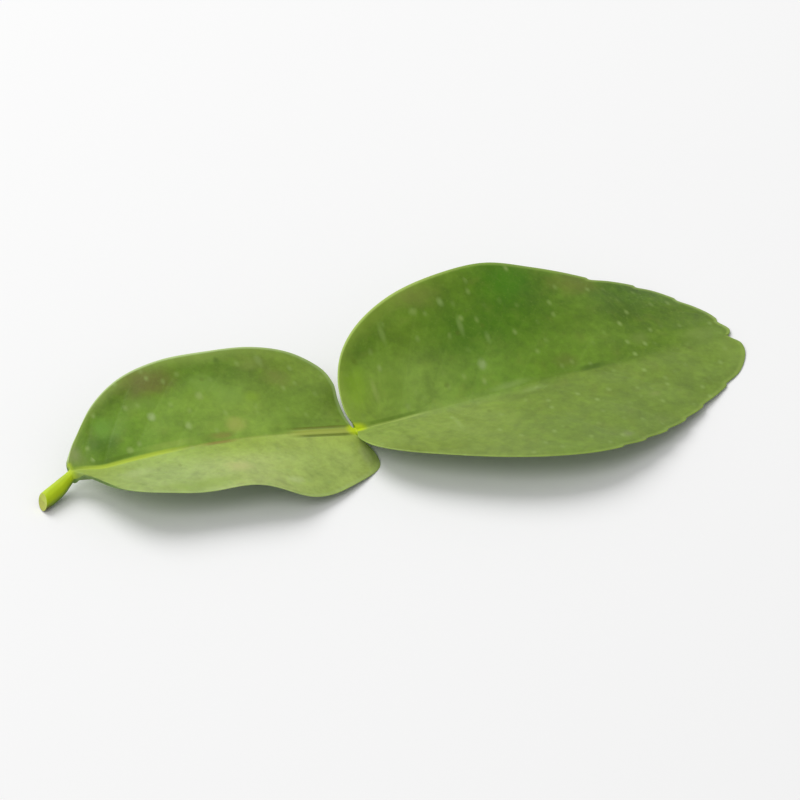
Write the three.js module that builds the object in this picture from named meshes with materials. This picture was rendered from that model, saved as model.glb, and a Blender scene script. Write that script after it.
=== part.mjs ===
// A makrut lime leaf, sold as a lemon leaf, picked with its stalk and lying on a flat surface.
//
// The leaf grew as one piece, so it is one closed solid: a short round stalk, a broad winged
// petiole, the narrow node where the leaf hinges on its petiole, and an oval blade. Both the wing
// and the blade are thin laminas folded upwards along a midrib that stands out underneath.
//
// Units are millimetres. +X runs along the leaf from stalk to apex, +Y to its left half and +Z up.
// While it is worked out, x is 0 at the node. The finished solid is moved so that its origin is
// the middle of the bottom of its box.
import * as THREE from "three";
import { mergeVertices } from "three/addons/utils/BufferGeometryUtils.js";

const { lerp, smoothstep, degToRad } = THREE.MathUtils;

// Driving dimensions
const BLADE_LENGTH = 57.3;
const BLADE_HALF_WIDTH = 21;
const WING_LENGTH = 41;
const WING_HALF_WIDTH = 16.3;
const LAMINA = 0.35;
const STALK_TIP_RADIUS = 1.2;
const FOOT_RADIUS = 0.95;
const NODE_RADIUS = 0.65;
const APEX_RIB_RADIUS = 0.15;

// How finely the solid is divided
const COLUMNS = 36;
const WING_ROWS = 36;
const BLADE_ROWS = 64;

// How the rows cross a lamina. They leave the midrib where u to the power VEIN_LEAD, mixed with a
// little of u itself, lies along it, and curve towards the apex as VEIN_CURVE says. The columns
// crowd towards the midrib as MIDRIB_CROWDING says, which is 1 where they don't.
const VEIN_LEAD = 2.4;
const VEIN_EVENNESS = 0.06;
const VEIN_CURVE = 1.25;
const MIDRIB_CROWDING = 1.6;

// A lamina's outlines are smooth curves through points given as shares of its length, from the
// stalk's end of its midrib, and of its half width. Its midrib runs level, sways sideways and
// arches; each half rises from it at an angle that changes from the first end to the last. The
// blade's midrib ends in a notch, with a small lobe on its left and a broad one on its right.
const BLADE = {
  start: 0,
  length: BLADE_LENGTH,
  left: outline(BLADE_LENGTH, BLADE_HALF_WIDTH, [
    [0, 0.031], [-0.015, 0.16], [-0.007, 0.38], [0.03, 0.59], [0.099, 0.766], [0.199, 0.901],
    [0.321, 0.971], [0.453, 0.986], [0.576, 0.902], [0.701, 0.805], [0.826, 0.688], [0.929, 0.52],
    [0.99, 0.33], [1.01, 0.18], [1.019, 0.07], [1.009, 0.012], [1, 0],
  ]),
  right: outline(BLADE_LENGTH, BLADE_HALF_WIDTH, [
    [0, 0.031], [-0.014, 0.16], [0.002, 0.38], [0.06, 0.565], [0.15, 0.709], [0.264, 0.841],
    [0.386, 0.929], [0.508, 0.956], [0.622, 0.901], [0.735, 0.778], [0.845, 0.645], [0.93, 0.49],
    [0.985, 0.362], [1.018, 0.22], [1.025, 0.11], [1.01, 0.04], [1, 0],
  ]),
  height: [1.4, 0.36],
  arch: (t) => 1.8 * Math.sin(Math.PI * t) ** 2,
  sway: [-1.6, 0],
  veer: bladeVeer,
  rise: { left: [32, 30, -4], right: [20, 3, -3] },
  valley: 0.9,
  rib: (t) => lerp(APEX_RIB_RADIUS, NODE_RADIUS, Math.max(0, 1 - t) ** 1.3),
  notch: bladeNotch,
  wave: () => 0,
};

const WING = {
  start: -WING_LENGTH,
  length: WING_LENGTH,
  left: outline(WING_LENGTH, WING_HALF_WIDTH, [
    [0, 0.055], [-0.005, 0.102], [0.008, 0.157], [0.052, 0.338], [0.134, 0.624], [0.261, 0.843],
    [0.415, 0.951], [0.585, 0.982], [0.756, 1], [0.883, 0.933], [0.968, 0.761], [0.993, 0.571],
    [0.983, 0.368], [0.98, 0.184], [0.988, 0.04],
  ]),
  right: outline(WING_LENGTH, WING_HALF_WIDTH, [
    [0, 0.055], [0.033, 0.137], [0.074, 0.287], [0.112, 0.489], [0.176, 0.63], [0.27, 0.695],
    [0.378, 0.73], [0.537, 0.761], [0.683, 0.84], [0.805, 0.779], [0.927, 0.62], [1.015, 0.454],
    [1.029, 0.307], [1.01, 0.147], [0.988, 0.04],
  ]),
  height: [3, 1.4],
  arch: (t) => 1.5 * Math.sin(Math.PI * t),
  sway: [0.3, -1.6],
  veer: wingVeer,
  rise: { left: [17, 19, 12], right: [16, 7, -10.8] },
  valley: 0,
  rib: (t) => lerp(FOOT_RADIUS, NODE_RADIUS, t),
  notch: () => 0,
  wave: wingWave,
};

// The stalk bends down from the wing's foot and runs along the surface to its end, which is cut
// aslant: the cut face looks the way of CUT_FACE.
const STALK_AXIS = new THREE.QuadraticBezierCurve3(
  new THREE.Vector3(-46.2, -1.2, 1.09),
  new THREE.Vector3(-43.45, 0.25, 1.15),
  new THREE.Vector3(
    -WING_LENGTH,
    WING.sway[0] + wingVeer(0),
    WING.height[0] + LAMINA / 2 - FOOT_RADIUS,
  ),
);
const CUT_FACE = new THREE.Vector3(-0.95, -0.12, 0.29).normalize();

// Rings of the stalk: how far along its axis, and the share of the radius there. The first ring
// lies on the cut face and the next one rounds that face's edge. The stalk is stoutest halfway.
const STALK_RINGS = [
  [0, 0.55],
  [0.01, 0.93],
  [0.05, 0.98],
  [0.25, 1.03],
  [0.45, 1.05],
  [0.65, 1.03],
  [0.85, 1],
];

// Where the blade's margins are cut back by a tooth, as shares of each margin's own length
const TEETH = {
  left: [0.681, 0.775, 0.852, 0.944],
  right: [0.554, 0.606, 0.661, 0.711, 0.763, 0.842],
};

/** Half an outline: a smooth curve through shares of a lamina's length and half width. */
function outline(length, halfWidth, shares) {
  const points = shares.map(([along, across]) => new THREE.Vector2(along * length, across * halfWidth));
  const curve = new THREE.SplineCurve(points);
  curve.arcLengthDivisions = 600;
  return curve;
}

/** A number that runs from the first value to the last, drawn towards the middle one. */
function eased(t, [first, middle, last]) {
  return lerp(lerp(first, middle, t), lerp(middle, last, t), t);
}

/** How far a margin of the blade is cut back at u along it: steeply at each tooth, then less and less. */
function bladeNotch(side, u) {
  const DEPTH = 0.32;
  const MARGIN_RUN = 80;
  const STEEP = 0.4;
  const GENTLE = 1.8;
  let cut = 0;
  for (const place of TEETH[side]) {
    const past = (u - place) * MARGIN_RUN;
    cut += DEPTH * Math.exp(-((past / (past < 0 ? STEEP : GENTLE)) ** 2));
  }
  return cut;
}

/** How far the blade's midrib strays to the left at t along it: to the right first, then left. */
function bladeVeer(t) {
  const RIGHT = 0.9;
  const LEFT = 2;
  const TURN = 0.76;
  const right = t < TURN ? Math.sin((Math.PI * t) / TURN) ** 2 : 0;
  return LEFT * smoothstep(t, 0.7, 0.9) - RIGHT * right;
}

/** How far the wing's midrib turns left at t along it, to meet the stalk. */
function wingVeer(t) {
  const LEFT = 1.3;
  const RUN = 0.12;
  return LEFT * (1 - smoothstep(t, 0, RUN));
}

/** How far the right half of the wing waves up and down: one tall wave, 1 mm high at its margin. */
function wingWave(side, x, across) {
  if (side === "left") return 0;
  const CREST = -18;
  const WAVELENGTH = 20;
  const SPREAD = 14;
  const MARGIN = 14;
  const fade = Math.exp(-(((x - CREST) / SPREAD) ** 2));
  return (across / MARGIN) ** 2 * fade * Math.cos((2 * Math.PI * (x - CREST)) / WAVELENGTH);
}

/** How much the fold at t along a lamina is raised beside its midrib, which rounds it. */
function rounding(part, t, across) {
  const REACH = 1.7;
  const steep = (Math.sin(riseAt(part, "left", t)) + Math.sin(riseAt(part, "right", t))) / 2;
  const share = part.valley * smoothstep(t, 0.06, 0.2);
  return share * steep * (REACH / 2) * Math.max(0, 1 - across / REACH) ** 2;
}

/** The angle at which one half of a lamina is turned up at t along it. */
function riseAt(part, side, t) {
  return degToRad(eased(t, part.rise[side]));
}

/**
 * A place in the flat lamina, folded and arched to where it lies.
 * The midrib's height is a straight line plus its arch, and each half is turned up about it.
 * Lift stands square to each half, and leans less and less near the midrib, where they meet.
 */
function bend(part, side, x, across, lift) {
  const MEETING = 0.5;
  const t = (x - part.start) / part.length;
  const angle = riseAt(part, side, t);
  const hand = side === "left" ? 1 : -1;
  const sway = lerp(part.sway[1], part.sway[0], Math.cos((Math.PI / 2) * t)) + part.veer(t);
  const midrib = lerp(part.height[0], part.height[1], t) + part.arch(t);
  const height = midrib + part.wave(side, x, across) + rounding(part, t, across);
  const lean = lift * Math.sin(angle) * smoothstep(across, 0, MEETING);
  return new THREE.Vector3(
    x,
    sway + hand * (across * Math.cos(angle) - lean),
    height + across * Math.sin(angle) + lift * Math.cos(angle),
  );
}

/**
 * One point of the closed row that runs round a lamina at u along its margins.
 * The row leaves the midrib like a side vein, reaches each margin and comes back underneath.
 * Where it is no wider than the rib its section is round, and where it is wide it is a thin
 * lamina over the rib.
 */
function laminaPoint(part, u, angle) {
  const share = Math.sign(Math.cos(angle)) * Math.abs(Math.cos(angle)) ** MIDRIB_CROWDING;
  const side = share > 0 ? "left" : "right";
  const midrib = lerp(u ** VEIN_LEAD, u, VEIN_EVENNESS);
  const radius = part.rib(midrib);
  const edge = part[side].getPointAt(u);
  const run = edge.x - midrib * part.length;
  const full = Math.hypot(run, edge.y);
  const reach = Math.abs(share) * (1 - part.notch(side, u) / full);
  const across = edge.y * reach;
  const x = part.start + midrib * part.length + run * reach ** VEIN_CURVE;

  const flat = smoothstep(full, radius * 1.05, radius * 2.6);
  const drop = (1 - flat) * (radius - LAMINA / 2);
  const section = Math.sqrt(Math.max(0, 1 - Math.abs(share) ** (2 + 10 * flat)));
  const half = lerp(radius, LAMINA / 2, flat) * section;
  const ridge = flat * Math.max(0, 2 * radius - LAMINA) * Math.exp(-((across / (0.9 * radius)) ** 2));
  const lift = Math.sin(angle) > 0 ? half : -half - ridge * section;
  return bend(part, side, x, across, lift - drop);
}

/**
 * One point of a ring of the stalk. A ring is square to the axis, and turns square to X towards
 * the wing's foot. Towards the end it slides along the axis until it lies in the cut.
 */
function stalkPoint([t, share], angle) {
  const radius = share * lerp(STALK_TIP_RADIUS, FOOT_RADIUS, t);
  const towardsLeaf = new THREE.Vector3(1, 0, 0);
  const along = STALK_AXIS.getTangent(t).lerp(towardsLeaf, smoothstep(t, 0.4, 1)).normalize();
  const left = new THREE.Vector3(0, 0, 1).cross(along).normalize();
  const up = along.clone().cross(left);
  const out = left.multiplyScalar(radius * Math.cos(angle)).addScaledVector(up, radius * Math.sin(angle));
  const slant = (1 - smoothstep(t, 0, 0.35)) * (out.dot(CUT_FACE) / along.dot(CUT_FACE));
  return STALK_AXIS.getPoint(t).add(out).addScaledVector(along, -slant);
}

/** The rows of the whole leaf, from the cut end to the apex, each a function of the angle round it. */
function leafRows() {
  const rows = STALK_RINGS.map((ring) => (angle) => stalkPoint(ring, angle));
  for (let i = 0; i <= WING_ROWS; i++) {
    rows.push((angle) => laminaPoint(WING, i / WING_ROWS, angle));
  }
  for (let i = 1; i < BLADE_ROWS; i++) {
    rows.push((angle) => laminaPoint(BLADE, i / BLADE_ROWS, angle));
  }
  return rows;
}

/** The leaf's skin: a sphere whose poles are the cut end and the apex, drawn out through the rows. */
function leafGeometry() {
  const rows = leafRows();
  const skin = new THREE.SphereGeometry(1, COLUMNS, rows.length + 1);
  const position = skin.getAttribute("position");
  const apex = bend(BLADE, "left", BLADE_LENGTH, 0, 0);
  for (let i = 0; i < position.count; i++) {
    const row = Math.floor(i / (COLUMNS + 1));
    const angle = (-2 * Math.PI * (i % (COLUMNS + 1))) / COLUMNS;
    const ends = { 0: STALK_AXIS.getPoint(0), [rows.length + 1]: apex };
    const point = ends[row] ?? rows[row - 1](angle);
    position.setXYZ(i, point.x, point.y, point.z);
  }
  skin.deleteAttribute("normal");
  skin.deleteAttribute("uv");
  const geometry = mergeVertices(skin, 1e-3);
  geometry.computeBoundingBox();
  const { min, max } = geometry.boundingBox;
  geometry.translate(-(min.x + max.x) / 2, -(min.y + max.y) / 2, -min.z);
  geometry.computeVertexNormals();
  return geometry;
}

const leafGreen = new THREE.MeshStandardMaterial({ color: 0x5f8a2c, roughness: 0.42, metalness: 0 });
const leaf = new THREE.Mesh(leafGeometry(), leafGreen);
leaf.name = "lemon_leaf";

const group = new THREE.Group();
group.add(leaf);

export default group;
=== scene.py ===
"""A makrut lime leaf, sold as a lemon leaf, lying on a pale surface in soft light.

The leaf has two laminas in a row on one midrib: the winged petiole, which ends in a short
stalk, and the blade. Each is a closed thin sheet worked out as a function of two parameters:
u, which runs along its margins from the stalk's end to the apex's end, and an angle round the
row that leaves the midrib at u, reaches both margins and comes back underneath.

Sizes are in millimetres with x = 0 at the node between petiole and blade. The finished meshes
are in metres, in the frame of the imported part.
"""

import logging
from collections.abc import Callable
from dataclasses import dataclass, field
from enum import Enum
from typing import Any, Union

import bpy
import numpy as np
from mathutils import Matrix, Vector


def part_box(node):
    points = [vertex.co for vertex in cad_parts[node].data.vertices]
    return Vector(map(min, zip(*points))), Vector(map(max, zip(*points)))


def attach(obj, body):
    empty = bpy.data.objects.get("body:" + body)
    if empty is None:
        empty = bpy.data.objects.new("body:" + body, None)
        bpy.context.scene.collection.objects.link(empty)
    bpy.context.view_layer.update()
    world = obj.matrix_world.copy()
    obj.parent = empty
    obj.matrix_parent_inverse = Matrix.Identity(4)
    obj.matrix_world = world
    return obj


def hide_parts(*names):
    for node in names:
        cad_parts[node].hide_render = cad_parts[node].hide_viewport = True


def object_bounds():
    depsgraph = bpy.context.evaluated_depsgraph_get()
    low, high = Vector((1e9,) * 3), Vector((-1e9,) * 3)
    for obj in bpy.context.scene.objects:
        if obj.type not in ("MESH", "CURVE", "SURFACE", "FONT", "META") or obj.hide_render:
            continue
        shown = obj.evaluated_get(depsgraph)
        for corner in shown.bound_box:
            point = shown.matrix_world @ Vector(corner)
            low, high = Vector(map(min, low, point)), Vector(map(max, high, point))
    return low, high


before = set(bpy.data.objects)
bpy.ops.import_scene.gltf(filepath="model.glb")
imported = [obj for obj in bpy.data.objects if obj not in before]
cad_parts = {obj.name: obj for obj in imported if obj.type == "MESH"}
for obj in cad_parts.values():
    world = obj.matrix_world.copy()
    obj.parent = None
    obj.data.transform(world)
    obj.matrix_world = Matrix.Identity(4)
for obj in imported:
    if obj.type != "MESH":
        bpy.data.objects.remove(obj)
CAD_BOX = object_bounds()

logging.basicConfig(level=logging.INFO, format="%(message)s")
LOG = logging.getLogger("leaf")

MM = 0.001
NODE_NAME = "lemon_leaf"

Array = np.ndarray
Pair = tuple[float, float]
Triple = tuple[float, float, float]
Rows = dict[str, Array]


class Half(Enum):
    """The two halves of a lamina, with the sign of y on each."""

    LEFT = 1.0
    RIGHT = -1.0


# ---------------------------------------------------------------- numbers on arrays


def smoothstep(low: float, high: float, x: Array) -> Array:
    """Rises from 0 at low to 1 at high as 3t^2 - 2t^3."""
    t = np.clip((x - low) / (high - low), 0.0, 1.0)
    return t * t * (3.0 - 2.0 * t)


def lerp(first: Any, last: Any, t: Any) -> Any:
    """The straight mix of first and last at t."""
    return first + (last - first) * t


def eased(values: Triple, t: Array) -> Array:
    """A quadratic from the first value to the last, drawn towards the middle one."""
    first, middle, last = values
    return lerp(lerp(first, middle, t), lerp(middle, last, t), t)


def bell(x: Array, width: float | Array) -> Array:
    """exp(-(x / width)^2)."""
    return np.exp(-((x / width) ** 2))


def filled(like: Array, **numbers: Any) -> Rows:
    """Each of the numbers, spread over an array as large as like."""
    return {name: values + 0.0 * like for name, values in numbers.items()}


def catmull_rom(knots: Array, t: Array) -> Array:
    """A uniform Catmull-Rom curve through knots, its end knots doubled.

    Args:
        knots: n points.
        t: shares from 0 to 1 of the n - 1 spans.

    Returns:
        A point for each t.
    """
    spans = len(knots) - 1
    place = np.clip(t, 0.0, 1.0) * spans
    at = np.minimum(place.astype(int), spans - 1)
    w = (place - at)[:, None]
    before, first, last, after = (knots[np.clip(at + step, 0, spans)] for step in (-1, 0, 1, 2))
    leaving, arriving = (last - before) / 2, (after - first) / 2
    cubic = 2 * first - 2 * last + leaving + arriving
    square = -3 * first + 3 * last - 2 * leaving - arriving
    return cubic * w**3 + square * w**2 + leaving * w + first


# ---------------------------------------------------------------- the shape of a lamina


@dataclass(frozen=True)
class Margin:
    """Half the outline of a lamina: a smooth curve through shares of its length and half width.

    Each tooth is a share of the curve's own length, where the margin is cut back.
    """

    shares: tuple[Pair, ...]
    teeth: tuple[float, ...] = ()
    depth: float = 0.32
    steep: float = 0.4
    gentle: float = 1.8
    run: float = 80.0
    samples: int = 6001

    def at(self, u: Array, length: float, half_width: float) -> Array:
        """Places on the curve.

        Args:
            u: shares of the curve's own length.
            length: the lamina's length.
            half_width: its half width.

        Returns:
            (x, y) for each u in millimetres, y counted from the midrib.
        """
        knots = np.array(self.shares) * (length, half_width)
        t = np.linspace(0.0, 1.0, self.samples)
        steps = np.hypot(*np.diff(catmull_rom(knots, t), axis=0).T)
        run = np.concatenate([[0.0], np.cumsum(steps)])
        return catmull_rom(knots, np.interp(u * run[-1], run, t))

    def cut(self, u: Array) -> Array:
        """Millimetres cut back at u: depth * exp(-(past / width)^2) at each tooth.

        Args:
            u: shares of the curve's length.

        Returns:
            The depth at each u, with a width of steep before a tooth and gentle past it.
        """
        total = np.zeros_like(u)
        for tooth in self.teeth:
            past = (u - tooth) * self.run
            total += self.depth * bell(past, np.where(past < 0, self.steep, self.gentle))
        return total


@dataclass(frozen=True)
class Veins:
    """The side veins of a lamina. They leave the midrib in pairs and bend towards the apex."""

    pairs: int
    first: float
    last: float
    bend: float
    stagger: float

    def phase(self, u: Array, share: Array, half: Half) -> Array:
        """How many veins along a place is: (u + bend * share^3 - first) / (last - first) * pairs.

        The left half's veins stand stagger further along. A vein runs where a half is over.
        """
        along = (u + self.bend * np.abs(share) ** 3 - self.first) / (self.last - self.first)
        return along * self.pairs + (self.stagger if half is Half.LEFT else 0.0)


@dataclass(frozen=True)
class Lamina:
    """The sizes of one lamina: its outline, how it folds and arches, and its midrib and veins."""

    start: float
    length: float
    half_width: float
    left: Margin
    right: Margin
    height: Pair
    arch: float
    arch_power: int
    sway: Pair
    rise_left: Triple
    rise_right: Triple
    rib: Pair
    rib_power: float
    veins: Veins
    stray_left: float = 0.0
    stray_right: float = 0.0
    stray_end: float = 0.76
    foot_turn: float = 0.0
    foot_end: float = 0.12
    wave: float = 0.0
    wave_middle: float = -18.0
    wave_reach: float = 14.0
    wave_length: float = 20.0
    valley: float = 0.0
    valley_reach: float = 1.7
    meeting: float = 0.5
    thickness: float = 0.35

    def margin(self, half: Half) -> Margin:
        """The outline of one half."""
        return self.left if half is Half.LEFT else self.right

    def radius(self, midrib: Array) -> Array:
        """The midrib's radius: from the first value to the last as (1 - midrib)^rib_power falls."""
        return lerp(self.rib[1], self.rib[0], np.clip(1 - midrib, 0.0, 1.0) ** self.rib_power)

    def midrib_side(self, t: Array) -> Array:
        """Where the midrib lies sideways.

        It starts foot_turn to the left, which fades by foot_end, and sways as cos(pi t / 2). It
        strays right as sin(pi t / stray_end)^2, and left between 0.7 and 0.9.

        Args:
            t: shares of its length.

        Returns:
            Millimetres to the left.
        """
        foot = self.foot_turn * (1 - smoothstep(0.0, self.foot_end, t))
        hollow = np.sin(np.pi * t / self.stray_end) ** 2
        right = self.stray_right * np.where(t < self.stray_end, hollow, 0.0)
        sway = lerp(self.sway[1], self.sway[0], np.cos(np.pi / 2 * t))
        return sway + foot + self.stray_left * smoothstep(0.7, 0.9, t) - right

    def waving(self, half: Half, x: Array, across: Array) -> Array:
        """The right half's wave: (across / r)^2 * exp(-(p / r)^2) * cos(2 pi p / wave_length).

        Args:
            half: which half.
            x: millimetres along, with p counted from the wave's middle.
            across: millimetres from the midrib.

        Returns:
            Millimetres of height, with r for the wave's reach.
        """
        if half is Half.LEFT:
            return np.zeros_like(x)
        past = x - self.wave_middle
        fade = self.wave * bell(past, self.wave_reach)
        return (across / self.wave_reach) ** 2 * fade * np.cos(2 * np.pi * past / self.wave_length)

    def bend(self, half: Half, x: Array, across: Array, lift: Array) -> Array:
        """Folds and arches the flat lamina to where it lies.

        The midrib's height is a straight line plus arch * sin(pi t)^arch_power, and each half
        rises from it at an angle that changes with t. The fold is rounded over valley_reach to
        each side, by valley times what would fill it. Lift stands square to each half, and
        leans less where they meet.

        Args:
            half: which half.
            x: millimetres along.
            across: millimetres from the midrib.
            lift: millimetres above the lamina's middle.

        Returns:
            Points (x, y, z) in millimetres.
        """
        t = (x - self.start) / self.length
        rises = [np.radians(eased(rise, t)) for rise in (self.rise_left, self.rise_right)]
        angle = rises[0] if half is Half.LEFT else rises[1]
        arch = self.arch * np.sin(np.pi * t) ** self.arch_power
        height = lerp(self.height[0], self.height[1], t) + arch + self.waving(half, x, across)
        steep = self.valley * (np.sin(rises[0]) + np.sin(rises[1])) / 2 * smoothstep(0.06, 0.2, t)
        beside = np.clip(1 - across / self.valley_reach, 0, 1) ** 2
        height = height + steep * (self.valley_reach / 2) * beside
        lean = lift * np.sin(angle) * smoothstep(0.0, self.meeting, across)
        y = self.midrib_side(t) + half.value * (across * np.cos(angle) - lean)
        z = height + across * np.sin(angle) + lift * np.cos(angle)
        return np.stack([x, y, z], axis=-1)


BLADE = Lamina(
    start=0.0,
    length=57.3,
    half_width=21.0,
    left=Margin(
        (
            (0, 0.031), (-0.015, 0.16), (-0.007, 0.38), (0.03, 0.59), (0.099, 0.766),
            (0.199, 0.901), (0.321, 0.971), (0.453, 0.986), (0.576, 0.902), (0.701, 0.805),
            (0.826, 0.688), (0.929, 0.52), (0.99, 0.33), (1.01, 0.18), (1.019, 0.07),
            (1.009, 0.012), (1, 0),
        ),
        teeth=(0.681, 0.775, 0.852, 0.944),
    ),
    right=Margin(
        (
            (0, 0.031), (-0.014, 0.16), (0.002, 0.38), (0.06, 0.565), (0.15, 0.709),
            (0.264, 0.841), (0.386, 0.929), (0.508, 0.956), (0.622, 0.901), (0.735, 0.778),
            (0.845, 0.645), (0.93, 0.49), (0.985, 0.362), (1.018, 0.22), (1.025, 0.11),
            (1.01, 0.04), (1, 0),
        ),
        teeth=(0.554, 0.606, 0.661, 0.711, 0.763, 0.842),
    ),
    height=(1.4, 0.36),
    arch=1.8,
    arch_power=2,
    sway=(-1.6, 0.0),
    stray_left=2.0,
    stray_right=0.9,
    rise_left=(32, 30, -4),
    rise_right=(20, 3, -3),
    rib=(0.65, 0.15),
    rib_power=1.3,
    veins=Veins(pairs=9, first=0.06, last=0.97, bend=0.035, stagger=0.35),
    valley=0.9,
)

WING = Lamina(
    start=-41.0,
    length=41.0,
    half_width=16.3,
    left=Margin(
        (
            (0, 0.055), (-0.005, 0.102), (0.008, 0.157), (0.052, 0.338), (0.134, 0.624),
            (0.261, 0.843), (0.415, 0.951), (0.585, 0.982), (0.756, 1), (0.883, 0.933),
            (0.968, 0.761), (0.993, 0.571), (0.983, 0.368), (0.98, 0.184), (0.988, 0.04),
        )
    ),
    right=Margin(
        (
            (0, 0.055), (0.033, 0.137), (0.074, 0.287), (0.112, 0.489), (0.176, 0.63),
            (0.27, 0.695), (0.378, 0.73), (0.537, 0.761), (0.683, 0.84), (0.805, 0.779),
            (0.927, 0.62), (1.015, 0.454), (1.029, 0.307), (1.01, 0.147), (0.988, 0.04),
        )
    ),
    height=(3.0, 1.4),
    arch=1.5,
    arch_power=1,
    sway=(0.3, -1.6),
    rise_left=(17, 19, 12),
    rise_right=(16, 7, -10.8),
    rib=(0.95, 0.65),
    rib_power=1.0,
    veins=Veins(pairs=6, first=0.08, last=0.9, bend=0.03, stagger=0.4),
    foot_turn=1.3,
    wave=1.0,
)


# ---------------------------------------------------------------- meshes


def linked(name: str, data: bpy.types.ID) -> bpy.types.Object:
    """A new object with that data, linked into the scene at the origin."""
    made = bpy.data.objects.new(name, data)
    bpy.context.scene.collection.objects.link(made)
    return made


def row_faces(count: int, columns: int) -> tuple[Array, Array]:
    """Joins each row of points to the next one and the end rows to the poles.

    Args:
        count: how many rows there are.
        columns: how many points a row has.

    Returns:
        Corner indices of the quads and of the triangles.
    """
    ring = np.arange(columns)
    after = (ring + 1) % columns
    row = 1 + columns * np.arange(count - 1)[:, None]
    quads = np.stack([row + ring, row + after, row + columns + after, row + columns + ring], -1)
    last_row, end = 1 + columns * (count - 1), 1 + columns * count
    first_fan = np.stack([np.zeros(columns, int), 1 + after, 1 + ring], -1)
    last_fan = np.stack([last_row + ring, last_row + after, np.full(columns, end)], -1)
    return quads.reshape(-1, 4), np.concatenate([first_fan, last_fan])


@dataclass
class Skin:
    """A closed surface: bands of rows, of points with their numbers, between two poles."""

    name: str
    bands: tuple[Rows, ...]
    first_pole: Array
    last_pole: Array

    def build(self, shift: Array) -> bpy.types.Object:
        """Makes the mesh in metres, on or over the floor, turning its faces outwards.

        The corners' triple products add up to a negative volume where faces point inwards. A
        pole has the mean numbers of the row beside it.

        Args:
            shift: millimetres to add to every point.

        Returns:
            The smooth object, at the origin.
        """
        joined = {key: np.concatenate([band[key] for band in self.bands]) for key in self.bands[0]}
        rows = joined.pop("points")
        quads, fans = row_faces(*rows.shape[:2])
        points = np.concatenate([[self.first_pole], rows.reshape(-1, 3), [self.last_pole]]) + shift
        points[:, 2] = np.maximum(points[:, 2], 0.0)
        points *= MM
        a, b, c, d = points[quads.T]
        if np.einsum("ij,ij->", a, np.cross(b, c) + np.cross(c, d)) < 0:
            quads, fans = quads[:, ::-1], fans[:, ::-1]
        mesh = bpy.data.meshes.new(self.name)
        mesh.from_pydata(points.tolist(), [], quads.tolist() + fans.tolist(), shade_flat=False)
        for name, values in joined.items():
            values = np.concatenate([[values[0].mean()], values.ravel(), [values[-1].mean()]])
            kept = mesh.attributes.new(name, "FLOAT", "POINT")
            kept.data.foreach_set("value", values.astype(np.float32))
        return linked(self.name, mesh)


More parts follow.
